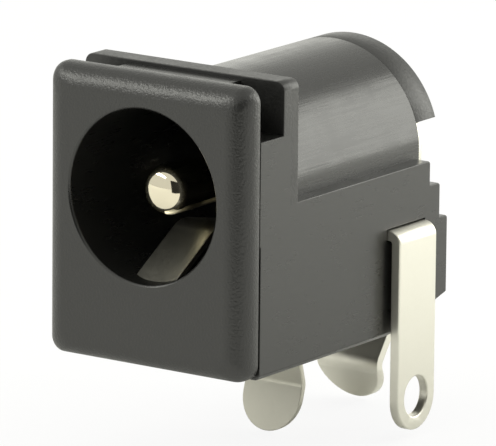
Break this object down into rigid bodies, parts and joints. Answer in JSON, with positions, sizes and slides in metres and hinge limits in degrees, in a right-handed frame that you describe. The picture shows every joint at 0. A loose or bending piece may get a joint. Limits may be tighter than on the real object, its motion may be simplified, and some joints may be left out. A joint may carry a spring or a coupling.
{
  "type": "dc power jack",
  "caption": "Right-angle DC barrel jack for a circuit board, with a round plug socket, a centre pin, a switched sleeve contact and a slot for a panel.",
  "frame": {"origin": "on the board plane, in the middle of the width, at the rear face of the front flange, where a panel bears", "axes": "+Z away from the board, -Y along the plug bore towards the plug, +X towards the side with the switch terminal"},
  "size_m": [0.0096, 0.0147, 0.015],
  "materials": {
    "black_plastic": "fine matte, moulded",
    "plated_pin": "turned and bright plated",
    "plated_plate": "stamped and tin plated",
    "plated_spring": "stamped and silver plated",
    "plated_sheet": "stamped and tin plated"
  },
  "bodies": {
    "root": {"housing": "black_plastic", "center_pin": "plated_pin", "pin_terminal": "plated_plate", "sleeve_contact": "plated_spring", "switch_terminal": "plated_sheet"}
  },
  "joints": []
}
